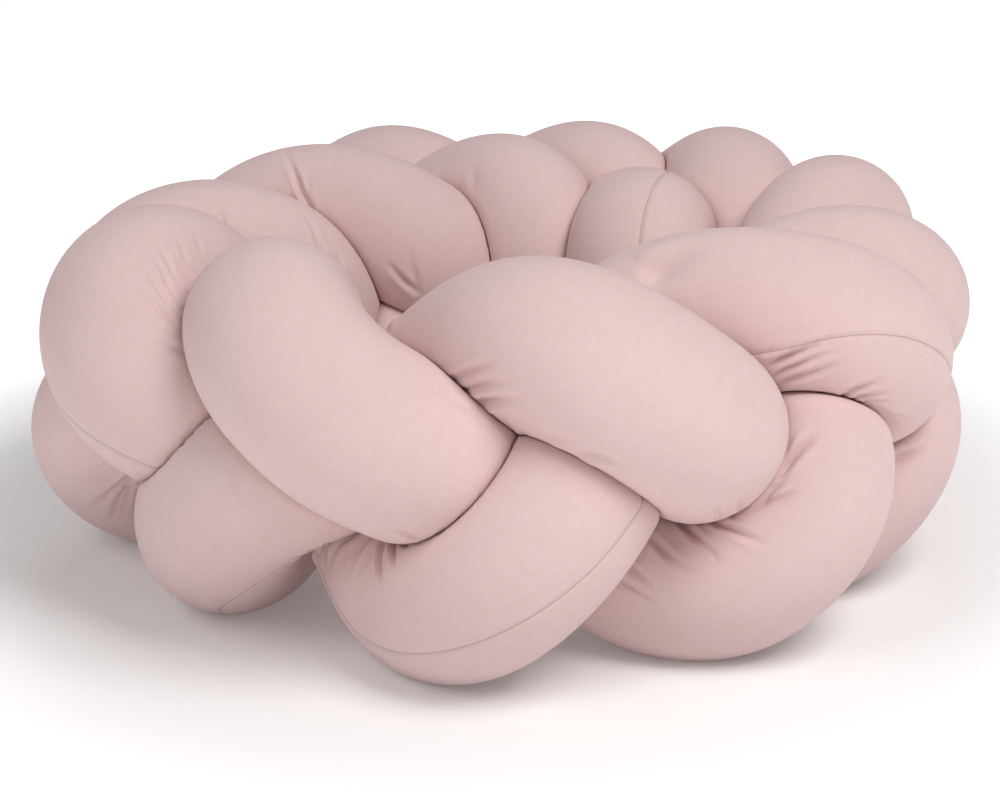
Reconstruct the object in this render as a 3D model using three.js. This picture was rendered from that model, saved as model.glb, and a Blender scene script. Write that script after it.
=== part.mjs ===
// A braided crib bumper: three stuffed cotton tubes, plaited flat and laid round in a ring
// whose two ends pass each other at the back. Millimetres, +Z up, the floor at z = 0.
import * as THREE from 'three';

const TUBE_RADIUS = 49;        // a stuffed tube where nothing presses on it
const FLOOR_HEIGHT = 38;       // the middle of a tube where it lies on the floor
const HALF_GAP = 0.15;         // half of the clearance between two tubes
const END_LENGTH = 40;         // the rounded end of a tube, along the tube
const BOX_MIDDLE = new THREE.Vector3(1.78, 24.91, 0);   // under the middle of the part's outline

// Where a tube crosses after a turn: the share of the way to its next turn, how far it stands
// out from the rim, and the share of the height that it has covered by then.
const OUTER_FROM_TOP = { at: 0.34, out: 38, fall: 0.24 };
const OUTER_FROM_FLOOR = { at: 0.30, out: 37, fall: 0.42 };
const INNER = { at: 0.28, out: -36, fall: 0.30 };

// The turns in their order along the braid. Even turns lie at the top edge and odd ones on the
// floor, and every third turn belongs to the same tube. Angles run round from the front to the
// right, the rim is the distance from the ring's middle, and outer and inner are the crossings
// that follow and precede a turn, where they differ from the usual ones.
const TURNS = [
  { turn: -15, angle: -262, rim: 100, height: 48, outer: { at: 0.35, out: 0, fall: 0.42 } },
  { turn: -14, angle: -216, rim: 100, height: 95, outer: { at: 0.35, out: -20, fall: 0.30 } },
  { turn: -13, angle: -222, rim: 150, height: 60, outer: { at: 0.35, out: -18, fall: 0.45 } },
  { turn: -12, angle: -228, rim: 119, height: 158, outer: { at: 0.34, out: 30, fall: 0.24 },
    inner: { at: 0.30, out: -10, fall: 0.20 } },
  { turn: -11, angle: -200, rim: 140, height: FLOOR_HEIGHT, outer: { at: 0.30, out: 12, fall: 0.42 } },
  { turn: -10, angle: -183, rim: 148, height: 166, outer: { at: 0.36, out: 16, fall: 0.30 } },
  { turn: -9, angle: -154, rim: 163, height: FLOOR_HEIGHT, outer: { at: 0.30, out: 30, fall: 0.32 } },
  { turn: -8, angle: -138, rim: 163, height: 165, outer: { at: 0.34, out: 30, fall: 0.24 },
    inner: { at: 0.28, out: -40, fall: 0.20 } },
  { turn: -7, angle: -122, rim: 178, height: FLOOR_HEIGHT, inner: { at: 0.28, out: -44, fall: 0.30 } },
  { turn: -6, angle: -108, rim: 186, height: 158 },
  { turn: -5, angle: -89, rim: 203, height: FLOOR_HEIGHT },
  { turn: -4, angle: -79, rim: 198, height: 168, inner: { at: 0.28, out: -26, fall: 0.50 } },
  { turn: -3, angle: -57, rim: 185, height: FLOOR_HEIGHT, outer: { at: 0.28, out: 32, fall: 0.42 },
    inner: { at: 0.28, out: -36, fall: 0.20 } },
  { turn: -2, angle: -42, rim: 187, height: 177, outer: { at: 0.28, out: 32, fall: 0.24 } },
  { turn: -1, angle: -12, rim: 187, height: FLOOR_HEIGHT, outer: { at: 0.30, out: 29, fall: 0.42 },
    inner: { at: 0.28, out: -44, fall: 0.35 } },
  { turn: 0, angle: 5, rim: 184, height: 179 },
  { turn: 1, angle: 32, rim: 192, height: FLOOR_HEIGHT, outer: { at: 0.33, out: 37, fall: 0.46 } },
  { turn: 2, angle: 50, rim: 186, height: 175, inner: { at: 0.39, out: -50, fall: 0.22 } },
  { turn: 3, angle: 62, rim: 184, height: FLOOR_HEIGHT },
  { turn: 4, angle: 78, rim: 184, height: 164 },
  { turn: 5, angle: 94, rim: 197, height: FLOOR_HEIGHT },
  { turn: 6, angle: 110, rim: 212, height: 163, inner: { at: 0.28, out: -28, fall: 0.42 } },
  { turn: 7, angle: 126, rim: 226, height: FLOOR_HEIGHT },
  { turn: 8, angle: 138, rim: 229, height: 161, outer: { at: 0.36, out: 46, fall: 0.28 },
    inner: { at: 0.30, out: -16, fall: 0.30 } },
  { turn: 9, angle: 152, rim: 243, height: FLOOR_HEIGHT, outer: { at: 0.36, out: 20, fall: 0.40 },
    inner: { at: 0.26, out: -12, fall: 0.26 } },
  { turn: 10, angle: 162, rim: 227, height: 157, outer: { at: 0.34, out: 24, fall: 0.25 },
    inner: { at: 0.28, out: -16, fall: 0.30 } },
  { turn: 11, angle: 180, rim: 243, height: FLOOR_HEIGHT, outer: { at: 0.35, out: 14, fall: 0.37 },
    inner: { at: 0.28, out: -10, fall: 0.30 } },
  { turn: 12, angle: 195, rim: 244, height: 149, outer: { at: 0.40, out: 16, fall: 0.25 },
    inner: { at: 0.30, out: -8, fall: 0.30 } },
  { turn: 13, angle: 206, rim: 252, height: 44, inner: { at: 0.30, out: 0, fall: 0.35 } },
  { turn: 14, angle: 190, rim: 282, height: 84, inner: { at: 0.30, out: 0, fall: 0.30 } },
  { turn: 15, angle: 212, rim: 272, height: 112, inner: { at: 0.30, out: 0, fall: 0.30 } },
];
const TUBES = ['strand_a', 'strand_b', 'strand_c'];
const TURNS_PER_TUBE = TUBES.length;

const CURVE_STEPS = 60;        // points worked out between two turns of a tube
const PATH_STEP = 4;           // spacing of the points along a tube's middle
const EASING_ROUNDS = 40;      // averaging that rounds the kinks off a tube's middle
const SIDES = 20;              // facets around a tube
const RING_SPACING = 23;       // spacing of the rings of facets along a tube
const END_RINGS = 5;           // rings in a rounded end
const SOFTNESS = 14;           // how sharply a pressed face turns into a free one
const OWN_SHARE = 0.80;        // how close the inside of a bend comes to its middle of turn
const OWN_SKIP = 10;           // length of the tube itself that never presses on it
const CLEARING_ROUNDS = 8;     // passes that draw flat facets clear of the next tube
// Places on a facet that are kept clear, as shares of its corners: its middle and its edges
const FACET_PLACES = [[1 / 3, 1 / 3, 1 / 3], [0.5, 0.5, 0], [0, 0.5, 0.5], [0.5, 0, 0.5]];

const mix = (a, b, share) => a + (b - a) * share;

// A natural cubic spline through values at increasing knots, as a function of the knot value
function spline(knots, values) {
  const last = knots.length - 1;
  const bend = new Array(last + 1).fill(0);
  const carry = new Array(last + 1).fill(0);
  for (let i = 1; i < last; i++) {
    const before = knots[i] - knots[i - 1];
    const after = knots[i + 1] - knots[i];
    const slopes = (values[i + 1] - values[i]) / after - (values[i] - values[i - 1]) / before;
    const pivot = 2 * (before + after) - before * carry[i - 1];
    carry[i] = after / pivot;
    bend[i] = (6 * slopes - before * bend[i - 1]) / pivot;
  }
  for (let i = last - 1; i > 0; i--) {
    bend[i] -= carry[i] * bend[i + 1];
  }
  return (at) => {
    let i = 0;
    while (i < last - 1 && at > knots[i + 1]) {
      i++;
    }
    const span = knots[i + 1] - knots[i];
    const left = (knots[i + 1] - at) / span;
    const right = (at - knots[i]) / span;
    const curve = (left ** 3 - left) * bend[i] + (right ** 3 - right) * bend[i + 1];
    return left * values[i] + right * values[i + 1] + curve * span * span / 6;
  };
}

// The knots of one tube: its turns, with an outer and an inner crossing between each two
function tubeKnots(tube) {
  const own = TURNS.filter((row) => THREE.MathUtils.euclideanModulo(row.turn, TURNS_PER_TUBE) === tube);
  const knots = [];
  own.forEach((row, i) => {
    knots.push({ at: row.turn, angle: row.angle, rim: row.rim, height: row.height });
    if (i + 1 === own.length) {
      return;
    }
    const next = own[i + 1];
    const usual = row.turn % 2 === 0 ? OUTER_FROM_TOP : OUTER_FROM_FLOOR;
    const outer = row.outer ?? usual;
    const inner = next.inner ?? INNER;
    const crossings = [
      { share: outer.at, out: outer.out, fall: outer.fall },
      { share: 1 - inner.at, out: inner.out, fall: 1 - inner.fall },
    ];
    for (const { share, out, fall } of crossings) {
      knots.push({
        at: mix(row.turn, next.turn, share),
        angle: mix(row.angle, next.angle, share),
        rim: mix(row.rim, next.rim, share) + out,
        height: mix(row.height, next.height, fall),
      });
    }
  });
  return knots;
}

// Points a fixed step apart along a line of points
function evenly(points, step) {
  const lengths = [0];
  for (let i = 1; i < points.length; i++) {
    lengths.push(lengths[i - 1] + points[i].distanceTo(points[i - 1]));
  }
  const total = lengths[lengths.length - 1];
  const count = Math.round(total / step);
  const even = [];
  let i = 0;
  for (let n = 0; n <= count; n++) {
    const at = total * n / count;
    while (i < points.length - 2 && lengths[i + 1] < at) {
      i++;
    }
    const share = (at - lengths[i]) / (lengths[i + 1] - lengths[i]);
    even.push(points[i].clone().lerp(points[i + 1], share));
  }
  return even;
}

// The middle line of one tube
function tubePath(tube) {
  const knots = tubeKnots(tube);
  const at = knots.map((knot) => knot.at);
  const angle = spline(at, knots.map((knot) => knot.angle));
  const rim = spline(at, knots.map((knot) => knot.rim));
  const height = spline(at, knots.map((knot) => knot.height));
  const first = at[0];
  const span = at[at.length - 1] - first;
  const count = Math.round(span / TURNS_PER_TUBE * CURVE_STEPS);
  const points = [];
  for (let n = 0; n <= count; n++) {
    const here = first + span * n / count;
    const turned = THREE.MathUtils.degToRad(angle(here));
    const away = rim(here);
    points.push(new THREE.Vector3(away * Math.sin(turned), -away * Math.cos(turned), height(here)));
  }
  let path = evenly(points, PATH_STEP);
  for (let round = 0; round < EASING_ROUNDS; round++) {
    path = path.map((point, i) => {
      if (i === 0 || i === path.length - 1) {
        return point;
      }
      const beside = path[i - 1].clone().add(path[i + 1]).multiplyScalar(0.5);
      return point.clone().lerp(beside, 0.5);
    });
  }
  return evenly(path, PATH_STEP);
}

const paths = TUBES.map((name, tube) => tubePath(tube));

// How far a tube's face may stand from its middle before it is nearer to another piece of tube
function roomBeside(from, outward, others, skipFrom, skipTo) {
  let room = Infinity;
  for (let i = 0; i < others.length; i++) {
    if (i >= skipFrom && i <= skipTo) {
      continue;
    }
    const x = others[i].x - from.x;
    const y = others[i].y - from.y;
    const z = others[i].z - from.z;
    const along = x * outward.x + y * outward.y + z * outward.z;
    if (along > 0) {
      room = Math.min(room, (x * x + y * y + z * z) / (2 * along));
    }
  }
  return room;
}

// The distance of a tube's face from its middle in one direction
function reach(tube, index, outward) {
  const from = paths[tube][index];
  const skip = Math.round(OWN_SKIP / PATH_STEP);
  let soft = TUBE_RADIUS ** -SOFTNESS;
  paths.forEach((path, other) => {
    const own = other === tube;
    const free = own ? [index - skip, index + skip] : [1, 0];
    const room = roomBeside(from, outward, path, free[0], free[1]);
    const limit = own ? room * OWN_SHARE : room - HALF_GAP;
    soft += limit ** -SOFTNESS;
  });
  const held = soft ** (-1 / SOFTNESS);
  return outward.z < 0 ? Math.min(held, from.z / -outward.z) : held;
}

// The rings of facets along a tube: the path point of each and the share of the full radius
function tubeRings(path) {
  const length = (path.length - 1) * PATH_STEP;
  const middle = length - 2 * END_LENGTH;
  const rings = [];
  for (let n = 1; n <= END_RINGS; n++) {
    const turn = Math.PI / 2 * n / (END_RINGS + 1);
    rings.push({ at: END_LENGTH * (1 - Math.cos(turn)), share: Math.sin(turn) });
  }
  const count = Math.round(middle / RING_SPACING);
  for (let n = 0; n <= count; n++) {
    rings.push({ at: END_LENGTH + middle * n / count, share: 1 });
  }
  for (let n = END_RINGS; n >= 1; n--) {
    rings.push({ at: length - rings[n - 1].at, share: rings[n - 1].share });
  }
  return rings.map((ring) => ({ index: Math.round(ring.at / PATH_STEP), share: ring.share }));
}

// The corners of a tube's mesh, ring by ring, and one at the tip of each end
function tubeCorners(tube) {
  const path = paths[tube];
  const side = new THREE.Vector3(0, 0, 1);
  const corners = [];
  tubeRings(path).forEach(({ index, share }) => {
    const ahead = path[Math.min(index + 1, path.length - 1)];
    const behind = path[Math.max(index - 1, 0)];
    const along = ahead.clone().sub(behind).normalize();
    side.addScaledVector(along, -side.dot(along)).normalize();
    for (let n = 0; n < SIDES; n++) {
      const outward = side.clone().applyAxisAngle(along, 2 * Math.PI * n / SIDES);
      corners.push({ middle: path[index], outward, distance: reach(tube, index, outward) * share });
    }
  });
  for (const tip of [path[0], path[path.length - 1]]) {
    corners.push({ middle: tip, outward: new THREE.Vector3(), distance: 0 });
  }
  return corners;
}

const cornerPoint = (corner) => corner.middle.clone().addScaledVector(corner.outward, corner.distance);

// The facets of a tube's mesh, as three corner numbers each
function tubeFacets(corners) {
  const tips = corners.length - 2;
  const rings = tips / SIDES;
  const facets = [];
  for (let n = 0; n < SIDES; n++) {
    const next = (n + 1) % SIDES;
    facets.push([tips, next, n]);
    for (let r = 0; r + 1 < rings; r++) {
      const low = r * SIDES;
      const high = low + SIDES;
      facets.push([low + n, low + next, high + next]);
      facets.push([low + n, high + next, high + n]);
    }
    facets.push([tips + 1, tips - SIDES + n, tips - SIDES + next]);
  }
  return facets;
}

// The distance from a place to the nearest point of a line of points
function nearest(path, place) {
  let square = Infinity;
  for (const point of path) {
    square = Math.min(square, point.distanceToSquared(place));
  }
  return Math.sqrt(square);
}

// How much further out a place on a tube lies than the clearance to the other tubes allows
function excess(tube, place) {
  let beside = Infinity;
  paths.forEach((path, other) => {
    if (other !== tube) {
      beside = Math.min(beside, nearest(path, place));
    }
  });
  return nearest(paths[tube], place) - beside + 2 * HALF_GAP;
}

// Draws in the corners of flat facets that would otherwise cut into the next tube
function clearNeighbours(tube, corners, facets) {
  const place = new THREE.Vector3();
  for (let round = 0; round < CLEARING_ROUNDS; round++) {
    const points = corners.map(cornerPoint);
    const draw = new Array(corners.length).fill(0);
    for (const facet of facets) {
      for (const shares of FACET_PLACES) {
        place.set(0, 0, 0);
        facet.forEach((corner, n) => place.addScaledVector(points[corner], shares[n]));
        const over = excess(tube, place);
        facet.forEach((corner) => {
          draw[corner] = Math.max(draw[corner], over / 2);
        });
      }
    }
    corners.forEach((corner, n) => {
      corner.distance -= draw[n];
    });
  }
}

// One stuffed tube as a closed mesh
function tubeGeometry(tube) {
  const corners = tubeCorners(tube);
  const facets = tubeFacets(corners);
  clearNeighbours(tube, corners, facets);
  const positions = corners.flatMap((corner) => cornerPoint(corner).sub(BOX_MIDDLE).toArray());
  const geometry = new THREE.BufferGeometry();
  geometry.setAttribute('position', new THREE.Float32BufferAttribute(positions, 3));
  geometry.setIndex(facets.flat());
  geometry.computeVertexNormals();
  return geometry;
}

const group = new THREE.Group();
TUBES.forEach((name, tube) => {
  const cloth = new THREE.MeshStandardMaterial({ color: 0xd8bcbb, roughness: 0.9, metalness: 0 });
  const mesh = new THREE.Mesh(tubeGeometry(tube), cloth);
  mesh.name = name;
  group.add(mesh);
});

export default group;
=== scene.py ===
import math
from collections import namedtuple

import bpy
import numpy as np
from mathutils import Euler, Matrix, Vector


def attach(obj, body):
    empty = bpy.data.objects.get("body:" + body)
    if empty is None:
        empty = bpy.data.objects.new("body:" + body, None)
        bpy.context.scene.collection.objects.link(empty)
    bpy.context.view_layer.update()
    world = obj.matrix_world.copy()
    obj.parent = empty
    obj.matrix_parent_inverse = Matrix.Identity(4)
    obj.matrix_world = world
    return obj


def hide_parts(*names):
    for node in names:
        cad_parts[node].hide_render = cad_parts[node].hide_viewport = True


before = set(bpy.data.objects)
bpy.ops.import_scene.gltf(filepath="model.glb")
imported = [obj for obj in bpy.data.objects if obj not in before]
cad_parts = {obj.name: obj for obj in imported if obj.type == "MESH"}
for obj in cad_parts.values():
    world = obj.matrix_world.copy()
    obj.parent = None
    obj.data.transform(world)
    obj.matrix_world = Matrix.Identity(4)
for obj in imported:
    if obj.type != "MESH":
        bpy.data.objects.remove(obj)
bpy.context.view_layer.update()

# A braided crib bumper: three stuffed cotton tubes, plaited flat and laid round in a ring.
# Sizes are in millimetres up to the finished meshes, which are in metres.
MM = 0.001

TUBE_RADIUS = 49.0         # a stuffed tube where nothing presses on it
FLOOR_HEIGHT = 38.0        # the middle of a tube where it lies on the floor
HALF_GAP = 0.15            # half of the clearance between two tubes
END_LENGTH = 40.0          # the rounded end of a tube, along the tube
BOX_MIDDLE = np.array([1.78, 24.91, 0.0])   # under the middle of the part's outline

# Where a tube crosses after a turn: the share of the way to its next turn, how far it stands
# out from the rim, and the share of the height that it has covered by then. For an inner crossing
# both shares are counted back from the next turn.
Crossing = namedtuple("Crossing", "at out fall")
OUTER_FROM_TOP = Crossing(0.34, 38, 0.24)
OUTER_FROM_FLOOR = Crossing(0.30, 37, 0.42)
INNER = Crossing(0.28, -36, 0.30)

# The turns in their order along the braid. Even turns lie at the top edge and odd ones on the
# floor, but for the last few at both ends, and every third turn belongs to the same tube. Angles
# run round from the front to the right, the rim is the distance from the ring's middle, and outer
# and inner are the crossings that follow and precede a turn, where they differ from the usual
# ones. Many values of the visible turns were found by a search program that moved them in small
# steps towards the lobes' outlines in the photograph, and were then rounded.
Turn = namedtuple("Turn", "number angle rim height outer inner", defaults=(None, None))
TURNS = [
    Turn(-15, -262, 100, 48, outer=Crossing(0.35, 0, 0.42)),
    Turn(-14, -216, 100, 95, outer=Crossing(0.35, -20, 0.30)),
    Turn(-13, -222, 150, 60, outer=Crossing(0.35, -18, 0.45)),
    Turn(-12, -228, 119, 158, outer=Crossing(0.34, 30, 0.24), inner=Crossing(0.30, -10, 0.20)),
    Turn(-11, -200, 140, FLOOR_HEIGHT, outer=Crossing(0.30, 12, 0.42)),
    Turn(-10, -183, 148, 166, outer=Crossing(0.36, 16, 0.30)),
    Turn(-9, -154, 163, FLOOR_HEIGHT, outer=Crossing(0.30, 30, 0.32)),
    Turn(-8, -138, 163, 165, outer=Crossing(0.34, 30, 0.24), inner=Crossing(0.28, -40, 0.20)),
    Turn(-7, -122, 178, FLOOR_HEIGHT, inner=Crossing(0.28, -44, 0.30)),
    Turn(-6, -108, 186, 158),
    Turn(-5, -89, 203, FLOOR_HEIGHT),
    Turn(-4, -79, 198, 168, inner=Crossing(0.28, -26, 0.50)),
    Turn(-3, -57, 185, FLOOR_HEIGHT, outer=Crossing(0.28, 32, 0.42), inner=Crossing(0.28, -36, 0.20)),
    Turn(-2, -42, 187, 177, outer=Crossing(0.28, 32, 0.24)),
    Turn(-1, -12, 187, FLOOR_HEIGHT, outer=Crossing(0.30, 29, 0.42), inner=Crossing(0.28, -44, 0.35)),
    Turn(0, 5, 184, 179),
    Turn(1, 32, 192, FLOOR_HEIGHT, outer=Crossing(0.33, 37, 0.46)),
    Turn(2, 50, 186, 175, inner=Crossing(0.39, -50, 0.22)),
    Turn(3, 62, 184, FLOOR_HEIGHT),
    Turn(4, 78, 184, 164),
    Turn(5, 94, 197, FLOOR_HEIGHT),
    Turn(6, 110, 212, 163, inner=Crossing(0.28, -28, 0.42)),
    Turn(7, 126, 226, FLOOR_HEIGHT),
    Turn(8, 138, 229, 161, outer=Crossing(0.36, 46, 0.28), inner=Crossing(0.30, -16, 0.30)),
    Turn(9, 152, 243, FLOOR_HEIGHT, outer=Crossing(0.36, 20, 0.40), inner=Crossing(0.26, -12, 0.26)),
    Turn(10, 162, 227, 157, outer=Crossing(0.34, 24, 0.25), inner=Crossing(0.28, -16, 0.30)),
    Turn(11, 180, 243, FLOOR_HEIGHT, outer=Crossing(0.35, 14, 0.37), inner=Crossing(0.28, -10, 0.30)),
    Turn(12, 195, 244, 149, outer=Crossing(0.40, 16, 0.25), inner=Crossing(0.30, -8, 0.30)),
    Turn(13, 206, 252, 44, inner=Crossing(0.30, 0, 0.35)),
    Turn(14, 190, 282, 84, inner=Crossing(0.30, 0, 0.30)),
    Turn(15, 212, 272, 112, inner=Crossing(0.30, 0, 0.30)),
]
TUBES = ["strand_a", "strand_b", "strand_c"]
TUBE_COUNT = len(TUBES)

CURVE_STEPS = 60           # points worked out between two turns of a tube
PATH_STEP = 4.0            # spacing of the points along a tube's middle
EASING_ROUNDS = 40         # averaging that rounds the kinks off a tube's middle
KEPT_SHARE = 0.5           # averaging: a point's own share, its two neighbours give the rest
TINY = 1e-9                # keeps a division off zero
SOFTNESS = 36              # how sharply a pressed face turns into a free one
OWN_SHARE = 0.84           # how close the inside of a bend comes to its middle of turn
OWN_SKIP = 10.0            # length of the tube itself that never presses on it
NEAR = 130.0               # tube middles further away than this press on nothing
SIDES = 96                 # points around a tube
RING_SPACING = 3.3         # spacing of the rings of points along a tube
END_RINGS = 16             # rings in a rounded end
SPLIT = 3                  # steps into which a face is split both ways where the cloth is creased
SPLIT_FACES = 3000         # faces of a tube that are split
SPLIT_SIDES = SIDES * SPLIT    # points around a tube on its split grid, and their angles
SIDE_ANGLES = 2 * np.pi * np.arange(SPLIT_SIDES) / SPLIT_SIDES
SPLIT_EASING = 4           # averaging rounds of the wrinkles between the points they are known at
HIDDEN_NEED = 0.1          # how much a crease that faces away counts when the faces are chosen

# The cloth was sewn as a straight tube, so it has spare length on the inside of every bend, and
# that buckles into wrinkles on the filling underneath.
WRINKLE_SEED = 5
WRINKLE_SPACING = 12.0     # from one wrinkle to the next where the cloth is only just too long
SEWN_SHARE = 1.02          # length of the cloth, as a share of the tube's middle line
SPARE_LIMIT = 0.28         # spare length that shows; the filling holds the rest in folds inside
SPARE_UNEVENNESS = 0.6     # how much the spare length differs from place to place
CLOTH_PUSH = 4.5           # how hard spare length pushes, in units of the cloth's bending stiffness
HOOP_PULL = 0.5            # pull around the tube that draws the wrinkles out, in the same units
SHORTEST_STEP = 1.4        # steps along and around the cloth that are shorter count as this long
WRINKLE_STEP = 0.2         # size of the simulation's steps, and their number
WRINKLE_ROUNDS = 320
FIRST_RIPPLE = 0.15        # height of the uneven cloth before it buckles
WRINKLE_SINK = 0.6         # wrinkles lie in the face rather than on it
VALLEY_SHARPNESS = 0.62    # under 1: narrow valleys between round ridges
WRINKLE_CAP = 4.0          # furthest that a wrinkle moves a point inward
WRINKLE_RISE = WRINKLE_CAP / 2    # and outward
LEAST_EDGE = 0.05          # shortest edge of the cloth in the sum for its spare length
UNEVEN_EASING = 30         # averaging rounds of the unevenness, along and around
UNEVEN_RANGE = (0.1, 2)    # least and most by which it multiplies the spare length
SPARE_EASING = 4           # averaging rounds of the spare length, along and around
RIPPLE_EASING = 40         # averaging rounds of the first ripple, around
USED_ALONG = 6             # averaging rounds of the spare length that the wrinkles use up
USED_AROUND = 2
STRESS_RANGE = (-3, 1)     # most push and most pull in the cloth
STILL_RINGS = 2            # rings at each tip that don't move
SIZE_ALONG = 12            # averaging rounds of the wrinkles' size
SIZE_AROUND = 6
LEAST_SIZE = 0.02          # added to that size, so that nothing is divided by zero

# The camera stands where the photograph seems to have been taken from. Pixels are counted from the
# photograph's upper left corner.
PHOTO_WIDTH = 1000
PHOTO_HEIGHT = 800
FOCAL_PIXELS = 2190.0
SENSOR = 36.0
CAMERA_PLACE = np.array([0.0, -1259.43, 540.66]) - BOX_MIDDLE
CAMERA_TILT = 70.006       # degrees up from straight down
CAMERA_PAN = 0.105         # degrees to the left
CAMERA_TURN = Euler((math.radians(CAMERA_TILT), 0.0, math.radians(CAMERA_PAN)))

# The main creases, each from near its deepest place to where it fades out, in pixels of the
# photograph. Depth and width are in millimetres.
Crease = namedtuple("Crease", "tube depth width line")
CREASES = [
    # the crook of the left front lobe
    Crease("strand_c", 2.2, 2.0, [(172, 320), (151, 300), (134, 282), (128, 268)]),
    Crease("strand_c", 1.6, 1.9, [(168, 302), (160, 289), (150, 275), (136, 257)]),
    Crease("strand_c", 1.3, 1.8, [(169, 286), (163, 270), (156, 259), (140, 243)]),
    Crease("strand_c", 1.4, 1.8, [(172, 271), (167, 257), (158, 243), (150, 234)]),
    Crease("strand_c", 1.2, 1.8, [(184, 253), (181, 243), (175, 234)]),
    Crease("strand_c", 0.9, 1.8, [(200, 247), (197, 237), (193, 230)]),
    Crease("strand_c", 1.7, 2.3, [(184, 351), (167, 345), (146, 333)]),
    # below it, the lobe at the far left
    Crease("strand_b", 3.0, 2.2, [(137, 472), (118, 488), (95, 507), (87, 512)]),
    Crease("strand_b", 2.3, 2.2, [(132, 480), (121, 496), (116, 513), (110, 526)]),
    Crease("strand_b", 1.9, 1.9, [(130, 490), (125, 505), (120, 524)]),
    # the upper front lobe where the left one passes over it
    Crease("strand_a", 4.6, 2.5, [(459, 379), (475, 370), (499, 361)]),
    Crease("strand_a", 4.4, 2.5, [(467, 389), (484, 385), (509, 380)]),
    Crease("strand_a", 4.2, 2.5, [(481, 403), (499, 401), (525, 398)]),
    Crease("strand_a", 3.2, 2.8, [(583, 455), (607, 459), (634, 468)]),
    Crease("strand_a", 2.2, 2.6, [(552, 440), (576, 443)]),
    Crease("strand_a", 3.4, 1.7, [(719, 513), (718, 503)]),
    Crease("strand_a", 3.4, 1.7, [(742, 506), (739, 496)]),
    # the left upper lobe at its lower end
    Crease("strand_b", 1.5, 1.9, [(463, 406), (454, 399), (440, 393)]),
    Crease("strand_b", 1.2, 1.9, [(449, 394), (433, 388), (422, 386)]),
    Crease("strand_b", 2.7, 2.0, [(416, 538), (403, 532), (389, 529)]),
    Crease("strand_b", 2.2, 2.0, [(387, 543), (373, 539), (357, 536)]),
    # the gathers of the front lobe
    Crease("strand_c", 6.2, 1.8, [(383, 546), (379, 560), (379, 571), (382, 583)]),
    Crease("strand_c", 5.8, 1.8, [(395, 544), (392, 555), (395, 568)]),
    Crease("strand_c", 5.4, 1.8, [(403, 541), (408, 548)]),
    Crease("strand_c", 4.0, 1.9, [(436, 532), (443, 533)]),
    Crease("strand_c", 4.2, 1.9, [(325, 553), (324, 563)]),
    Crease("strand_c", 2.4, 2.0, [(317, 560), (314, 570), (318, 588)]),
    Crease("strand_c", 1.4, 1.7, [(362, 546), (361, 558)]),
    # the right front lobe, fanning out from under the upper one
    Crease("strand_b", 5.4, 2.3, [(781, 471), (793, 455), (808, 440), (821, 427)]),
    Crease("strand_b", 3.2, 2.1, [(783, 464), (788, 448), (794, 433)]),
    Crease("strand_b", 3.8, 2.3, [(760, 500), (778, 484), (796, 470)]),
    Crease("strand_b", 4.8, 2.0, [(756, 506), (774, 499), (793, 493), (810, 489)]),
    Crease("strand_b", 3.6, 1.9, [(716, 522), (738, 533), (768, 545)]),
    Crease("strand_b", 3.6, 1.9, [(680, 522), (699, 539), (722, 566)]),
    Crease("strand_b", 3.4, 1.9, [(650, 536), (668, 555), (694, 574)]),
    Crease("strand_b", 3.6, 1.9, [(630, 568), (653, 590)]),
    Crease("strand_b", 3.2, 1.9, [(618, 582), (636, 592), (656, 606)]),
    # the right upper lobe, in its bend
    Crease("strand_c", 4.6, 2.0, [(771, 365), (801, 352), (838, 341)]),
    Crease("strand_c", 4.0, 2.0, [(777, 374), (796, 366), (816, 358), (842, 349)]),
    Crease("strand_c", 3.4, 2.1, [(781, 382), (810, 374), (846, 362)]),
    Crease("strand_c", 3.8, 1.7, [(845, 394), (862, 388), (886, 379)]),
    Crease("strand_c", 3.6, 1.6, [(853, 397), (870, 396), (895, 393)]),
    Crease("strand_c", 3.4, 1.6, [(859, 401), (873, 402), (892, 402)]),
    Crease("strand_c", 3.0, 1.6, [(868, 405), (880, 409), (895, 412)]),
    Crease("strand_c", 3.8, 2.0, [(880, 412), (895, 418), (913, 421)]),
    Crease("strand_c", 3.4, 2.0, [(888, 420), (898, 428), (909, 432)]),
    Crease("strand_c", 2.5, 1.8, [(887, 424), (895, 432), (903, 438)]),
    # the lobe at the far right
    Crease("strand_a", 4.3, 2.2, [(898, 457), (922, 452), (944, 440)]),
    Crease("strand_a", 2.4, 2.2, [(927, 443), (947, 430)]),
    # the lobes of the back, from left to right
    Crease("strand_a", 2.7, 2.0, [(225, 229), (219, 212), (211, 200)]),
    Crease("strand_a", 3.4, 2.0, [(325, 268), (323, 253), (314, 229), (304, 212)]),
    Crease("strand_a", 2.8, 2.0, [(344, 287), (340, 264), (335, 245)]),
    Crease("strand_b", 4.6, 1.7, [(307, 204), (299, 185), (290, 163), (285, 151)]),
    Crease("strand_b", 2.4, 1.8, [(310, 203), (307, 190), (307, 178)]),
    Crease("strand_b", 2.7, 2.0, [(413, 289), (396, 274), (385, 260)]),
    Crease("strand_b", 2.0, 2.0, [(417, 288), (413, 271), (409, 249)]),
    Crease("strand_c", 0.8, 3.0, [(474, 184), (473, 166), (477, 156)]),
    Crease("strand_a", 3.0, 1.9, [(704, 241), (699, 231)]),
    # the soft valley between the right upper lobe and its arm
    Crease("strand_c", 5.0, 8.0, [(650, 275), (675, 262), (703, 245)]),
]
CREASE_LEAD = 10           # pixels by which a crease's line is led back at its start
CREASE_SAMPLE = 3          # pixels between the places looked up on a crease
CREASE_LEAST = 3           # places looked up on even the shortest crease
CREASE_SEARCH = 7          # pixels around a place of any kind in which the cloth is looked for
CREASE_JUMP = 16.0         # places further than this from the last one lie on another lobe
CREASE_GRAIN = 0.5         # spacing of the points that make up a crease
CREASE_EASING = 8          # averaging rounds that smooth its course
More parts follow.
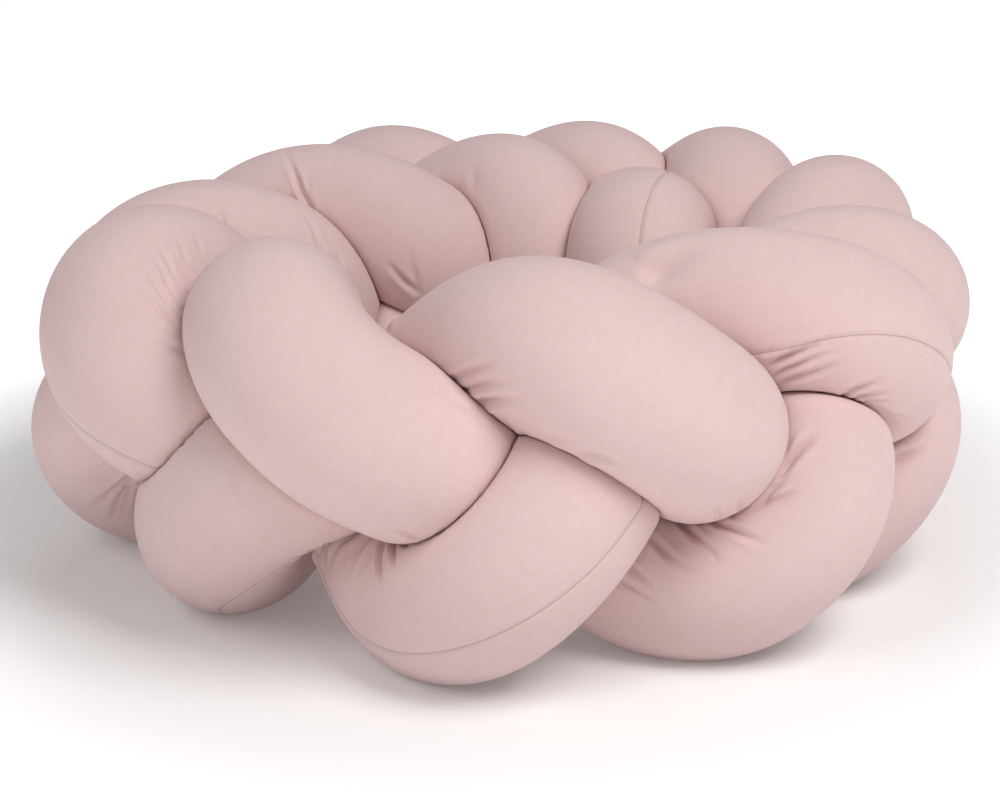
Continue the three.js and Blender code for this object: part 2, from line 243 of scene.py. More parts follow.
CREASE_SPAN = 4            # widths of a crease that it reaches to either side
CREASE_RISE = 0.22         # share of its way on which a crease gets deeper
CREASE_FADE = 0.7          # and on which it gets shallower again
RIDGE_SHARE = 0.28         # height of the ridges beside a crease, as a share of its depth
RIDGE_PLACE = 2.2          # place of these ridges, in widths of the crease
RIDGE_WIDTH = 0.8          # and how wide they are, in the same units
CREASE_SEEDING = 0.5       # share of a crease that is there before the cloth buckles
PRESSED = 0.8              # room to the next tube under which that tube holds the cloth flat
CREASE_HOLD = 0.35         # share of a main crease that it holds flat too

# Bends where the photograph shows the cloth lying smooth: a pixel there, how far around it in
# millimetres, and the share of the spare cloth that is left.
Calm = namedtuple("Calm", "tube pixel size share")
CALM_PLACES = [
    Calm("strand_b", (405, 345), 45, 0.15),
    Calm("strand_a", (415, 320), 40, 0.15),
    Calm("strand_b", (700, 545), 55, 0.3),
    Calm("strand_c", (165, 285), 40, 0.35),
]

# The long seam of each tube, where the photograph shows it, in pixels, and where it shows none,
# the direction in which it lies out of sight at a turn.
SeamSeen = namedtuple("SeamSeen", "tube line")
SEAMS_SEEN = [
    SeamSeen("strand_c", [(65, 415), (87, 431), (112, 445), (142, 460)]),
    SeamSeen("strand_c", [(366, 641), (394, 650), (435, 652), (491, 639), (525, 623), (560, 601),
                          (607, 563)]),
    SeamSeen("strand_c", [(767, 359), (795, 348), (832, 338), (881, 331), (915, 336), (936, 344)]),
    SeamSeen("strand_a", [(215, 604), (240, 597), (271, 580), (338, 545)]),
    SeamSeen("strand_a", [(667, 185), (651, 196), (636, 222), (631, 238)]),
]
SeamHidden = namedtuple("SeamHidden", "tube turn direction")
SEAMS_HIDDEN = [
    SeamHidden("strand_a", -6, (-1.0, 0.2, -0.2)),
    SeamHidden("strand_a", -3.2, (0.0, 0.0, -1.0)),
    SeamHidden("strand_a", 0, (0.0, 1.0, -0.6)),
    SeamHidden("strand_a", 3, (-1.0, 0.4, -0.3)),
    SeamHidden("strand_a", 6, (1.0, 0.4, -0.3)),
    SeamHidden("strand_b", -8, (-0.6, 1.0, -0.2)),
    SeamHidden("strand_b", -5, (1.0, 0.2, -0.4)),
    SeamHidden("strand_b", -2, (0.0, 1.0, -0.6)),
    SeamHidden("strand_b", 1, (0.0, 1.0, -0.4)),
    SeamHidden("strand_b", 4, (-0.2, 1.0, -0.4)),
    SeamHidden("strand_b", 10, (0.2, 1.0, -0.2)),
    SeamHidden("strand_c", -10, (0.0, 1.0, -0.2)),
    SeamHidden("strand_c", 8, (0.6, 1.0, -0.2)),
]
SEAM_DEPTH = 0.45          # the trough along a seam
SEAM_WIDTH = 1.6           # about half of the trough's width
SEAM_EASING = 50           # averaging rounds that smooth a seam's course


def mix(start, end, share):
    return start + (end - start) * share


# A natural cubic spline through rows of values at increasing knots, read off at several places
def spline(knots, values, at):
    count = len(knots)
    span = np.diff(knots)
    slope = np.diff(values, axis=0) / span[:, None]
    system = np.eye(count)
    right = np.zeros_like(values)
    for i in range(1, count - 1):
        system[i, i - 1:i + 2] = span[i - 1], 2 * (span[i - 1] + span[i]), span[i]
        right[i] = 6 * (slope[i] - slope[i - 1])
    bend = np.linalg.solve(system, right)
    i = np.clip(np.searchsorted(knots, at) - 1, 0, count - 2)
    step = span[i][:, None]
    left = (knots[i + 1] - at)[:, None] / step
    ahead = 1 - left
    curve = (left ** 3 - left) * bend[i] + (ahead ** 3 - ahead) * bend[i + 1]
    return left * values[i] + ahead * values[i + 1] + curve * step ** 2 / 6


# Lengths along a line of points, from its start
def lengths_along(points):
    steps = np.linalg.norm(np.diff(points[:, :3], axis=0), axis=1)
    return np.concatenate([[0.0], np.cumsum(steps)])


# Points a fixed step apart along a line of points
def evenly(points, step):
    lengths = lengths_along(points)
    count = max(1, round(lengths[-1] / step))
    at = np.linspace(0, lengths[-1], count + 1)
    return np.stack([np.interp(at, lengths, column) for column in points.T], axis=1)


# Averages a field along a tube
def ease_along(field, rounds):
    beside = (1 - KEPT_SHARE) / 2
    for _ in range(rounds):
        eased = field.copy()
        eased[1:-1] = KEPT_SHARE * field[1:-1] + beside * (field[:-2] + field[2:])
        field = eased
    return field


# Averages a field around a tube
def ease_around(field, rounds):
    beside = (1 - KEPT_SHARE) / 2
    for _ in range(rounds):
        field = KEPT_SHARE * field + beside * (np.roll(field, 1, axis=1) + np.roll(field, -1, axis=1))
    return field


# The middle line of one tube: three coordinates and the turn number at each point
def tube_path(tube):
    own = [row for row in TURNS if row.number % TUBE_COUNT == tube]
    knots = []
    for row, after in zip(own, own[1:]):
        usual = OUTER_FROM_TOP if row.number % 2 == 0 else OUTER_FROM_FLOOR
        outer = row.outer or usual
        inner = after.inner or INNER
        inner = Crossing(1 - inner.at, inner.out, 1 - inner.fall)
        knots.append((row.number, row.angle, row.rim, row.height))
        for cross in (outer, inner):
            knots.append((
                mix(row.number, after.number, cross.at),
                mix(row.angle, after.angle, cross.at),
                mix(row.rim, after.rim, cross.at) + cross.out,
                mix(row.height, after.height, cross.fall),
            ))
    knots.append((own[-1].number, own[-1].angle, own[-1].rim, own[-1].height))
    knots = np.array(knots, dtype=float)
    first = own[0].number
    last = own[-1].number
    number = np.linspace(first, last, round((last - first) / TUBE_COUNT * CURVE_STEPS) + 1)
    angle, rim, height = spline(knots[:, 0], knots[:, 1:], number).T
    angle = np.radians(angle)
    path = np.stack([rim * np.sin(angle), -rim * np.cos(angle), height, number], axis=1)
    path = evenly(path, PATH_STEP)
    path[:, :3] = ease_along(path[:, :3], EASING_ROUNDS)
    path = evenly(path, PATH_STEP)
    path[:, :3] -= BOX_MIDDLE
    return path


paths = [tube_path(tube) for tube in range(TUBE_COUNT)]


# The rings of one tube on its split grid: place along the tube, share of the full radius, middle,
# turn number and the outward directions of the points around it
Rings = namedtuple("Rings", "at share middle number outward")


def tube_rings(path):
    lengths = lengths_along(path)
    total = lengths[-1]
    turn = np.pi / 2 * np.arange(1, END_RINGS + 1) / (END_RINGS + 1)
    end_at = END_LENGTH * (1 - np.cos(turn))
    inside = np.arange(END_LENGTH, total - END_LENGTH, RING_SPACING)
    at = np.concatenate([end_at, inside, total - end_at[::-1]])
    at = np.interp(np.arange((len(at) - 1) * SPLIT + 1) / SPLIT, np.arange(len(at)), at)
    from_end = np.minimum(np.minimum(at, total - at) / END_LENGTH, 1)
    share = np.sqrt(1 - (1 - from_end) ** 2)
    places = spline(lengths, path, at)
    middle = places[:, :3]
    along = np.gradient(middle, at, axis=0)
    along /= np.linalg.norm(along, axis=1)[:, None]
    side = np.array([0.0, 0.0, 1.0])
    outward = np.empty((len(at), SPLIT_SIDES, 3))
    for ring, forward in enumerate(along):
        side = side - forward * side.dot(forward)
        side /= np.linalg.norm(side)
        across = np.cross(forward, side)
        outward[ring] = np.cos(SIDE_ANGLES)[:, None] * side + np.sin(SIDE_ANGLES)[:, None] * across
    return Rings(at, share, middle, places[:, 3], outward)


# The rings and sides of the unsplit grid
def unsplit_rings(rings):
    kept = rings._replace(outward=rings.outward[:, ::SPLIT])
    return Rings(*(field[::SPLIT] for field in kept))


# How far each point may stand from its tube's middle before it is nearer to another tube, or to
# another stretch of its own tube
def room_around(tube, rings):
    beside = np.full(rings.outward.shape[:2], np.inf)
    own = np.full(rings.outward.shape[:2], np.inf)
    for ring, middle in enumerate(rings.middle):
        for other, path in enumerate(paths):
            away = path[:, :3] - middle
            square = (away ** 2).sum(axis=1)
            near = square < NEAR ** 2
            if other == tube:
                near &= square > OWN_SKIP ** 2
            if not near.any():
                continue
            forward = rings.outward[ring] @ away[near].T
            room = square[near] / np.maximum(2 * forward, TINY)
            room = np.where(forward > 0, room, np.inf).min(axis=1)
            if other == tube:
                own[ring] = np.minimum(own[ring], room)
            else:
                beside[ring] = np.minimum(beside[ring], room)
    return beside - HALF_GAP, own * OWN_SHARE


# The distance of a tube's face from its middle
def tube_reach(rings, beside, own):
    soft = TUBE_RADIUS ** -SOFTNESS + beside ** -SOFTNESS + own ** -SOFTNESS
    held = soft ** (-1 / SOFTNESS)
    down = -rings.outward[:, :, 2]
    floor = rings.middle[:, None, 2] / np.maximum(down, TINY)
    floor = np.where(down > 0, floor, np.inf)
    return np.minimum(held, floor) * rings.share[:, None]


# Outward directions of a tube's face
def face_normals(points):
    along = np.gradient(points, axis=0)
    around = np.roll(points, -1, axis=1) - np.roll(points, 1, axis=1)
    normal = np.cross(around, along)
    return normal / np.maximum(np.linalg.norm(normal, axis=2, keepdims=True), TINY)


# The face of a tube: its points, their outward directions, and the room left to the next tube
Face = namedtuple("Face", "points normals room")


def tube_face(tube, rings):
    beside, own = room_around(tube, rings)
    reach = tube_reach(rings, beside, own)
    points = rings.middle[:, None, :] + rings.outward * reach[:, :, None]
    return Face(points, face_normals(points), np.maximum(beside - reach, 0))


# What the camera sees of a tube: pixels and depth of its points, and whether they face it
Seen = namedtuple("Seen", "x y depth faces")


def seen_from_camera(points, normals):
    axes = np.array(CAMERA_TURN.to_matrix())
    away = points - CAMERA_PLACE
    right, up, back = np.moveaxis(away @ axes, 2, 0)
    x = PHOTO_WIDTH / 2 - FOCAL_PIXELS * right / back
    y = PHOTO_HEIGHT / 2 + FOCAL_PIXELS * up / back
    return Seen(x, y, -back, (away * normals).sum(axis=2) < 0)


# The point of a tube that shows at a pixel, as ring and side, or None
def point_at(seen, pixel):
    square = (seen.x - pixel[0]) ** 2 + (seen.y - pixel[1]) ** 2
    depth = np.where(seen.faces & (square < CREASE_SEARCH ** 2), seen.depth, np.inf)
    best = np.unravel_index(depth.argmin(), depth.shape)
    if not np.isfinite(depth[best]):
        return None
    square = np.where(seen.faces & (seen.depth < depth[best] + TUBE_RADIUS), square, np.inf)
    return np.unravel_index(square.argmin(), square.shape)


# Places a few pixels apart along a line of pixels, which is first led back
def pixels_along(line, lead):
    line = np.array(line, dtype=float)
    start = line[0] - line[1]
    line = np.concatenate([[line[0] + start / np.linalg.norm(start) * lead], line])
    lengths = lengths_along(line)
    count = max(CREASE_LEAST, round(lengths[-1] / CREASE_SAMPLE) + 1)
    at = np.linspace(0, lengths[-1], count)
    return np.stack([np.interp(at, lengths, column) for column in line.T], axis=1)


# The places on a tube that show along a crease's line of pixels, and the share of the crease's
# depth at each of them
def crease_places(crease, points, seen):
    pixels = pixels_along(crease.line, CREASE_LEAD)
    way = np.linspace(0, 1, len(pixels))
    share = np.minimum(way / CREASE_RISE, (1 - way) / CREASE_FADE)
    places = []
    for pixel, depth in zip(pixels[::-1], share[::-1]):
        found = point_at(seen, pixel)
        if found is None:
            continue
        if places and np.linalg.norm(points[found] - places[-1][:3]) > CREASE_JUMP:
            continue
        places.append(np.append(points[found], depth))
    places = ease_along(np.array(places[::-1]), CREASE_EASING)
    return evenly(places, CREASE_GRAIN)


# Creases with their places as a height over a tube's face, negative in the troughs
def crease_height(creases, points):
    trough = np.zeros(points.shape[:2])
    ridge = np.zeros(points.shape[:2])
    for crease, places in creases:
        line = places[:, :3]
        low = line.min(axis=0) - CREASE_SPAN * crease.width
        high = line.max(axis=0) + CREASE_SPAN * crease.width
        near = ((points > low) & (points < high)).all(axis=2)
        away = np.linalg.norm(points[near][:, None] - line[None], axis=2)
        distance = away.min(axis=1) / crease.width
        depth = crease.depth * places[away.argmin(axis=1), 3]
        beside = np.exp(-((distance - RIDGE_PLACE) / RIDGE_WIDTH) ** 2)
        trough[near] = np.minimum(trough[near], -depth * np.exp(-distance ** 2))
        ridge[near] = np.maximum(ridge[near], RIDGE_SHARE * depth * beside)
    return trough + ridge


# The share of the spare cloth that is left at each point of a tube
def calm_share(name, points, seen):
    share = np.ones(points.shape[:2])
    for calm in CALM_PLACES:
        found = point_at(seen, calm.pixel)
        if calm.tube == name and found is not None:
            away = np.linalg.norm(points - points[found], axis=2) / calm.size
            share *= 1 - (1 - calm.share) * np.exp(-away ** 2)
    return share


# Wrinkles of the spare cloth on the inside of the bends: a thin sheet that is too long for its
# filling buckles until it has room, and its stiffness and the filling set how wide apart
def wrinkle_height(rings, points, calm, seed_height, random):
    step = np.diff(rings.at)[:, None]
    edge = np.linalg.norm(np.diff(points, axis=0), axis=2)
    spare = np.clip(SEWN_SHARE * step / np.maximum(edge, LEAST_EDGE) - 1, 0, SPARE_LIMIT)
    spare *= (rings.share[:-1, None] == 1) * calm[:-1]
    uneven = ease_along(ease_around(random.normal(size=edge.shape), UNEVEN_EASING), UNEVEN_EASING)
    spare *= np.clip(1 + SPARE_UNEVENNESS * uneven / uneven.std(), *UNEVEN_RANGE)
    spare = ease_around(ease_along(spare, SPARE_EASING), SPARE_EASING)
    run = np.maximum(edge, SHORTEST_STEP)
    around = np.maximum(np.linalg.norm(points - np.roll(points, -1, axis=1), axis=2), SHORTEST_STEP)
    middle_run = 0.5 * (run[:-1] + run[1:])
    hold = (2 * np.pi / WRINKLE_SPACING) ** 4
    height = ease_around(random.normal(size=points.shape[:2]), RIPPLE_EASING)
    height = height * FIRST_RIPPLE / height.std() + CREASE_SEEDING * seed_height

    def bend(field):
        bent = np.zeros_like(field)
        bent[1:-1] = np.diff(np.diff(field, axis=0) / run, axis=0) / middle_run
        return bent

    for _ in range(WRINKLE_ROUNDS):
        slope = np.diff(height, axis=0) / run
        used = ease_around(ease_along(0.5 * slope ** 2, USED_ALONG), USED_AROUND)
        stress = np.clip(CLOTH_PUSH * (used - spare), *STRESS_RANGE)
        push = np.zeros_like(height)
        push[1:-1] = np.diff(stress * slope, axis=0) / middle_run
        hoop = (np.roll(height, 1, axis=1) + np.roll(height, -1, axis=1) - 2 * height) / around ** 2
        height = height + WRINKLE_STEP * (push - bend(bend(height)) - hold * height + HOOP_PULL * hoop)
        height[:STILL_RINGS] = 0
        height[-STILL_RINGS:] = 0
    size = np.sqrt(2 * ease_around(ease_along(height ** 2, SIZE_ALONG), SIZE_AROUND)) + LEAST_SIZE
    level = np.clip(0.5 + 0.5 * height / size, 0, 1)
    wrinkle = size * (2 * level ** VALLEY_SHARPNESS - 1 - WRINKLE_SINK)
    return np.clip(wrinkle, -WRINKLE_CAP, WRINKLE_RISE)


# The angle at which the long seam lies on each ring of a tube
def seam_angle(name, rings, seen):
    marks = []
    for seam in SEAMS_SEEN:
        if seam.tube == name:
            found = [point_at(seen, pixel) for pixel in seam.line]
            marks += [(ring, 2 * np.pi * side / SIDES) for ring, side in filter(None, found)]
    for seam in SEAMS_HIDDEN:
        if seam.tube == name:
            ring = int(np.abs(rings.number - seam.turn).argmin())
            side = int((rings.outward[ring] @ np.array(seam.direction)).argmax())
            marks.append((ring, 2 * np.pi * side / SIDES))
    marks = np.array(sorted(marks))
    angle = np.interp(np.arange(len(rings.at)), marks[:, 0], np.unwrap(marks[:, 1]))
    return ease_along(angle[:, None], SEAM_EASING)


# A field of the cloth at the rings and sides of a split grid
def on_split(field, rings, split):
    closed = np.concatenate([field, field[:, :1]], axis=1)
    known = np.arange(closed.shape[1])
    wanted = np.arange(field.shape[1] * SPLIT) / SPLIT
    rows = np.stack([np.interp(wanted, known, row) for row in closed])
    return np.stack([np.interp(split.at, rings.at, column) for column in rows.T], axis=1)


# The largest value in each face of the unsplit grid
def largest_in_faces(field):
    count = (field.shape[0] - 1) // SPLIT
    return field[:-1].reshape(count, SPLIT, SIDES, SPLIT).max(axis=(1, 3))


# The faces of a tube that are split: those in which the cloth goes up and down most
def creased_faces(height, faces_camera):
    need = largest_in_faces(height) + largest_in_faces(-height)
    need *= np.where(largest_in_faces(faces_camera.astype(int)) > 0, 1, HIDDEN_NEED)
    chosen = np.zeros(need.size, dtype=bool)
    chosen[np.argsort(need.ravel(), kind="stable")[-SPLIT_FACES:]] = True
    return chosen.reshape(need.shape)


# A closed tube as a mesh object, from the points of a split grid and the faces that are split.
# Its points carry their place on the cloth: the length along the tube, and a round section on
# which the seam lies at the top.
def tube_object(name, path, rings, points, from_seam, split_faces):
    around = points.shape[1]
    split = np.argwhere(split_faces) * SPLIT
    used = np.zeros(points.shape[:2], dtype=bool)
    used[::SPLIT, ::SPLIT] = True
    for ring in range(SPLIT + 1):
        for side in range(SPLIT + 1):
            used[split[:, 0] + ring, (split[:, 1] + side) % around] = True
    number = np.cumsum(used).reshape(used.shape) - 1
    faces = []
    for ring in range(SPLIT):
        for side in range(SPLIT):
            here = split[:, 0] + ring
            left = split[:, 1] + side
            right = (left + 1) % around
            corners = [(here, left), (here, right), (here + 1, right), (here + 1, left)]
            faces += np.stack([number[corner] for corner in corners], axis=1).tolist()
    steps = range(SPLIT)
    for ring, side in np.argwhere(~split_faces) * SPLIT:
        border = [(ring, side + step) for step in steps]
        border += [(ring + step, side + SPLIT) for step in steps]
        border += [(ring + SPLIT, side + SPLIT - step) for step in steps]
        border += [(ring + SPLIT - step, side) for step in steps]
        border = [(row, column % around) for row, column in border]
        faces.append([int(number[place]) for place in border if used[place]])
    tip = int(used.sum())
    first = number[0][used[0]].tolist()
    last = number[-1][used[-1]].tolist()
    faces += [[tip, after, here] for here, after in zip(first, first[1:] + first[:1])]
    faces += [[tip + 1, here, after] for here, after in zip(last, last[1:] + last[:1])]
    corners = np.concatenate([points[used], path[[0, -1], :3]]) * MM
    mesh = bpy.data.meshes.new(name)
    mesh.from_pydata(corners.tolist(), [], faces)
    mesh.polygons.foreach_set("use_smooth", np.ones(len(mesh.polygons), dtype=bool))
    along = np.broadcast_to(rings.at[:, None], from_seam.shape)
    cloth = np.stack([along, TUBE_RADIUS * np.sin(from_seam), TUBE_RADIUS * np.cos(from_seam)], axis=2)
    tips = np.array([[0.0, 0.0, 0.0], [lengths_along(path)[-1], 0.0, 0.0]])
    cloth = np.concatenate([cloth[used], tips]) * MM
    place = mesh.attributes.new("cloth", "FLOAT_VECTOR", "POINT")
    place.data.foreach_set("vector", cloth.astype(np.float32).ravel())
    mesh.update()
    piece = bpy.data.objects.new(name, mesh)
    bpy.context.scene.collection.objects.link(piece)
    return piece


# The cloth: plain-weave cotton with slightly uneven threads. Lengths are in metres here.
COTTON_DEEP = (0.655, 0.470, 0.462, 1)
COTTON_PALE = (0.765, 0.570, 0.560, 1)
COTTON_SEAM = (0.440, 0.290, 0.280, 1)
THREADS_AROUND = 440       # threads in the girth of a tube
THREAD_PITCH = 2 * math.pi * TUBE_RADIUS * MM / THREADS_AROUND
SLUB_WIDTH = 0.0008        # thick places in a thread
SLUB_LENGTH = 0.018
PATCH_SIZE = 0.12          # paler and deeper places of the cloth
RUMPLE_SIZE = 0.022        # slight unevenness of the filling under the cloth
SEAM_LINE = 0.0007         # half of the dark line in a seam
SEAM_DIP = 0.0028          # half of the narrow dip along it
STITCH_PITCH = 0.0045      # pucker from stitch to stitch
WEAVE_HEIGHT = 0.00010
RUMPLE_HEIGHT = 0.0008
SEAM_HEIGHT = 0.00045
SHEEN = 0.20
SHEEN_ROUGHNESS = 0.45
SHEEN_TINT = (1.0, 0.93, 0.92, 1)
SHINE = 0.25
SLUB_DETAIL = 1            # fine grain in the noise of each kind of unevenness
PATCH_DETAIL = 2
RUMPLE_DETAIL = 2
RUMPLE_STRETCH = 1.6       # a rumple's size around the tube, as a share of its size along it
SLUB_NOISE = (0.36, 0.64)  # levels of the noise between which slubs change the shade
SLUB_SHADE = (0.15, 0.35)  # and the share of the pale colour at both
PATCH_NOISE = (0.3, 0.7)   # the same for patches
PATCH_SHADE = (0.15, 0.5)
ROUGH_NOISE = (0.3, 0.7)   # and for the roughness, which slubs lower
ROUGHNESS = (0.92, 0.80)
SEAM_CORE = 0.4            # share of the dark line that is at its darkest
SEAM_DARKNESS = 0.65       # share of the seam's own colour there
PUCKER = 0.25              # height of the puckers, as a share of the dip's depth
PUCKER_REACH = 2 * SEAM_DIP    # distance from the seam at which they end
THREAD_RELIEF = 0.35       # parts of the threads and of the slubs in the weave's height
SLUB_RELIEF = 2.0
MIX_COLOURS = (6, 7)       # a Mix node's two colour inputs, which share their names with others
MIX_RESULT = 2             # and its colour output


def cotton():
    material = bpy.data.materials.new("dusty_pink_cotton")
    material.use_nodes = True
    nodes = material.node_tree.nodes
    links = material.node_tree.links
    shader = nodes["Principled BSDF"]
    cloth = nodes.new("ShaderNodeAttribute")
    cloth.attribute_name = "cloth"

    def calculate(operation, first, second=None):
        node = nodes.new("ShaderNodeMath")
        node.operation = operation
        for socket, value in zip(node.inputs, (first, second)):
            if isinstance(value, bpy.types.NodeSocket):
                links.new(value, socket)
            elif value is not None:
                socket.default_value = value
        return node.outputs["Value"]

    def wave(place, pitch):
        return calculate("SINE", calculate("MULTIPLY", place, 2 * math.pi / pitch))

    def noise(along, around, detail):
        stretch = nodes.new("ShaderNodeMapping")
        stretch.inputs["Scale"].default_value = (1 / along, 1 / around, 1 / around)
        links.new(cloth.outputs["Vector"], stretch.inputs["Vector"])
        texture = nodes.new("ShaderNodeTexNoise")
        texture.inputs["Scale"].default_value = 1
        texture.inputs["Detail"].default_value = detail
        links.new(stretch.outputs["Vector"], texture.inputs["Vector"])
        return texture.outputs["Fac"]

    def spread(value, before, after):
        node = nodes.new("ShaderNodeMapRange")
        node.interpolation_type = "SMOOTHSTEP"
        links.new(value, node.inputs["Value"])
        sockets = ("From Min", "From Max", "To Min", "To Max")
        for socket, limit in zip(sockets, before + after):
            node.inputs[socket].default_value = limit
        return node.outputs["Result"]

    def blend(share, first, second):
        node = nodes.new("ShaderNodeMix")
        node.data_type = "RGBA"
        links.new(share, node.inputs["Factor"])
        for index, value in zip(MIX_COLOURS, (first, second)):
            if isinstance(value, bpy.types.NodeSocket):
                links.new(value, node.inputs[index])
            else:
                node.inputs[index].default_value = value
        return node.outputs[MIX_RESULT]

    def raised(height, distance, under=None):
        node = nodes.new("ShaderNodeBump")
        node.inputs["Strength"].default_value = 1
        node.inputs["Distance"].default_value = distance
        links.new(height, node.inputs["Height"])
        if under is not None:
            links.new(under, node.inputs["Normal"])
        return node.outputs["Normal"]

    split = nodes.new("ShaderNodeSeparateXYZ")
    links.new(cloth.outputs["Vector"], split.inputs["Vector"])
    turned = calculate("ARCTAN2", split.outputs["Y"], split.outputs["Z"])
    around = calculate("MULTIPLY", turned, TUBE_RADIUS * MM)
    warp = wave(split.outputs["X"], THREAD_PITCH)
    weft = wave(around, THREAD_PITCH)
    over = calculate("MULTIPLY", warp, weft)
    slubs_along = noise(SLUB_LENGTH, SLUB_WIDTH, SLUB_DETAIL)
    slubs_around = noise(SLUB_WIDTH, SLUB_LENGTH, SLUB_DETAIL)
    slubs = calculate("MULTIPLY", calculate("ADD", slubs_along, slubs_around), 0.5)
    patches = noise(PATCH_SIZE, PATCH_SIZE, PATCH_DETAIL)
    rumple = noise(RUMPLE_SIZE, RUMPLE_SIZE * RUMPLE_STRETCH, RUMPLE_DETAIL)

    away = calculate("ABSOLUTE", around)
    line = spread(away, (SEAM_LINE * SEAM_CORE, SEAM_LINE), (1, 0))
    dip = spread(away, (0, SEAM_DIP), (0, 1))
    stitches = calculate("MULTIPLY", wave(split.outputs["X"], STITCH_PITCH), PUCKER)
    pucker = calculate("MULTIPLY", stitches, spread(away, (0, PUCKER_REACH), (1, 0)))

    slub_shade = spread(slubs, SLUB_NOISE, SLUB_SHADE)
    patch_shade = spread(patches, PATCH_NOISE, PATCH_SHADE)
    colour = blend(calculate("ADD", slub_shade, patch_shade), COTTON_DEEP, COTTON_PALE)
    seam_share = calculate("MULTIPLY", line, SEAM_DARKNESS)
    links.new(blend(seam_share, colour, COTTON_SEAM), shader.inputs["Base Color"])
    links.new(spread(slubs, ROUGH_NOISE, ROUGHNESS), shader.inputs["Roughness"])
    thread_height = calculate("MULTIPLY", over, THREAD_RELIEF)
    slub_height = calculate("MULTIPLY", slubs, SLUB_RELIEF)
    normal = raised(calculate("ADD", thread_height, slub_height), WEAVE_HEIGHT)
    normal = raised(rumple, RUMPLE_HEIGHT, normal)
    normal = raised(calculate("ADD", dip, pucker), SEAM_HEIGHT, normal)
    links.new(normal, shader.inputs["Normal"])
    shader.inputs["Sheen Weight"].default_value = SHEEN
    shader.inputs["Sheen Roughness"].default_value = SHEEN_ROUGHNESS
    shader.inputs["Sheen Tint"].default_value = SHEEN_TINT
    shader.inputs["Specular IOR Level"].default_value = SHINE
    return material


# The three tubes, each with its seam, creases and wrinkles
material = cotton()
random = np.random.default_rng(WRINKLE_SEED)
for tube, name in enumerate(TUBES):
    path = paths[tube]
    rings = tube_rings(path)
    face = tube_face(tube, rings)
    seen = seen_from_camera(face.points, face.normals)
    own_creases = [crease for crease in CREASES if crease.tube == name]
    creases = [(crease, crease_places(crease, face.points, seen)) for crease in own_creases]
    crease_field = crease_height(creases, face.points)
    calm = calm_share(name, face.points, seen)

    plain = unsplit_rings(rings)
    fields = [field[::SPLIT, ::SPLIT] for field in (face.points, calm, crease_field)]
    wrinkles = on_split(wrinkle_height(plain, *fields, random), plain, rings)
    wrinkles = ease_around(ease_along(wrinkles, SPLIT_EASING), SPLIT_EASING)
    plain_seen = Seen(*(field[::SPLIT, ::SPLIT] for field in seen))
    seam = on_split(seam_angle(name, plain, plain_seen), plain, rings)[:, :1]
    from_seam = SIDE_ANGLES - seam
    from_seam = (from_seam + np.pi) % (2 * np.pi) - np.pi
    pressed = np.exp(-(face.room / PRESSED) ** 2)
    height = wrinkles * (1 - pressed) + crease_field * (1 - CREASE_HOLD * pressed)
    height -= SEAM_DEPTH * np.exp(-(from_seam * TUBE_RADIUS / SEAM_WIDTH) ** 2)
    height = np.minimum(height, face.room)
    points = face.points + face.normals * height[:, :, None]
    points[:, :, 2] = np.maximum(points[:, :, 2], 0)
    split_faces = creased_faces(height, seen.faces)
    piece = tube_object(name + "_cloth", path, rings, points, from_seam, split_faces)
    piece.data.materials.append(material)
    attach(piece, "root")
    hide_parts(name)

# A pale floor, with a glow that lifts it to the white of the photograph. Lengths are in metres.
FLOOR_REACH = 14.0         # from its middle to its edges
FLOOR_COLOUR = (0.9, 0.9, 0.9, 1)
FLOOR_ROUGHNESS = 0.9
NEAR_GLOW = 0.11           # under the ring
FAR_GLOW = 0.85            # away from it
GLOW_START = 0.28          # distance from the ring's middle from which the glow grows
GLOW_FULL = 0.58           # and at which it is full
floor_mesh = bpy.data.meshes.new("floor")
floor_corners = [(-FLOOR_REACH, -FLOOR_REACH, 0), (FLOOR_REACH, -FLOOR_REACH, 0)]
floor_corners += [(FLOOR_REACH, FLOOR_REACH, 0), (-FLOOR_REACH, FLOOR_REACH, 0)]
floor_mesh.from_pydata(floor_corners, [], [(0, 1, 2, 3)])
floor = bpy.data.objects.new("floor", floor_mesh)
bpy.context.scene.collection.objects.link(floor)
floor_material = bpy.data.materials.new("pale_floor")
floor_material.use_nodes = True
floor_nodes = floor_material.node_tree.nodes
floor_finish = floor_nodes["Principled BSDF"].inputs
floor_finish["Base Color"].default_value = FLOOR_COLOUR
floor_finish["Roughness"].default_value = FLOOR_ROUGHNESS
floor_finish["Emission Color"].default_value = FLOOR_COLOUR
floor_place = floor_nodes.new("ShaderNodeNewGeometry")
floor_away = floor_nodes.new("ShaderNodeVectorMath")
floor_away.operation = "LENGTH"
floor_glow = floor_nodes.new("ShaderNodeMapRange")
floor_glow.interpolation_type = "SMOOTHSTEP"
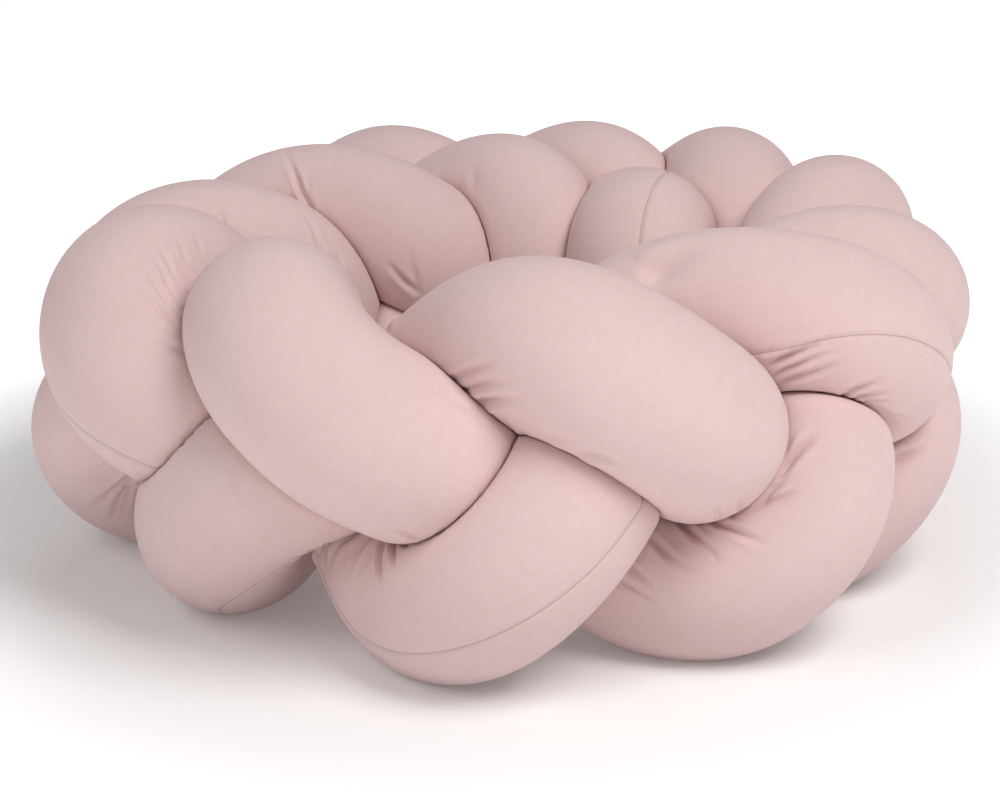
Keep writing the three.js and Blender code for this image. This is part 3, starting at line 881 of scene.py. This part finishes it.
floor_glow.inputs["From Min"].default_value = GLOW_START
floor_glow.inputs["From Max"].default_value = GLOW_FULL
floor_glow.inputs["To Min"].default_value = NEAR_GLOW
floor_glow.inputs["To Max"].default_value = FAR_GLOW
floor_links = floor_material.node_tree.links
floor_links.new(floor_place.outputs["Position"], floor_away.inputs[0])
floor_links.new(floor_away.outputs["Value"], floor_glow.inputs["Value"])
floor_links.new(floor_glow.outputs["Result"], floor_finish["Emission Strength"])
floor.data.materials.append(floor_material)

WORLD_COLOUR = (1, 1, 1, 1)
WORLD_LIGHT = 0.15
world = bpy.data.worlds.new("studio")
world.use_nodes = True
background = world.node_tree.nodes["Background"].inputs
background["Color"].default_value = WORLD_COLOUR
background["Strength"].default_value = WORLD_LIGHT
bpy.context.scene.world = world

# Soft light panels that face the ring. Lengths are in metres and powers in watts.
Panel = namedtuple("Panel", "name place size power")
LIGHT_AIM = Vector((0.0, -0.05, 0.1))
LIGHTS = [
    Panel("right_panel", (0.72, -0.78, 1.48), 0.8, 19.2),
    Panel("left_panel", (-0.90, -0.95, 1.15), 0.8, 5.6),
    Panel("back_panel", (-0.10, 1.10, 1.50), 1.0, 4.6),
]
for panel in LIGHTS:
    lamp = bpy.data.lights.new(panel.name, "AREA")
    lamp.shape = "SQUARE"
    lamp.size = panel.size
    lamp.energy = panel.power
    light = bpy.data.objects.new(panel.name, lamp)
    light.location = panel.place
    direction = LIGHT_AIM - light.location
    light.rotation_euler = direction.to_track_quat("-Z", "Y").to_euler()
    bpy.context.scene.collection.objects.link(light)

camera_data = bpy.data.cameras.new("camera")
camera_data.sensor_fit = "HORIZONTAL"
camera_data.sensor_width = SENSOR
camera_data.lens = FOCAL_PIXELS * SENSOR / PHOTO_WIDTH
camera = bpy.data.objects.new("camera", camera_data)
camera.location = CAMERA_PLACE * MM
camera.rotation_euler = CAMERA_TURN
bpy.context.scene.collection.objects.link(camera)
bpy.context.scene.camera = camera
bpy.context.scene.view_settings.view_transform = "Standard"
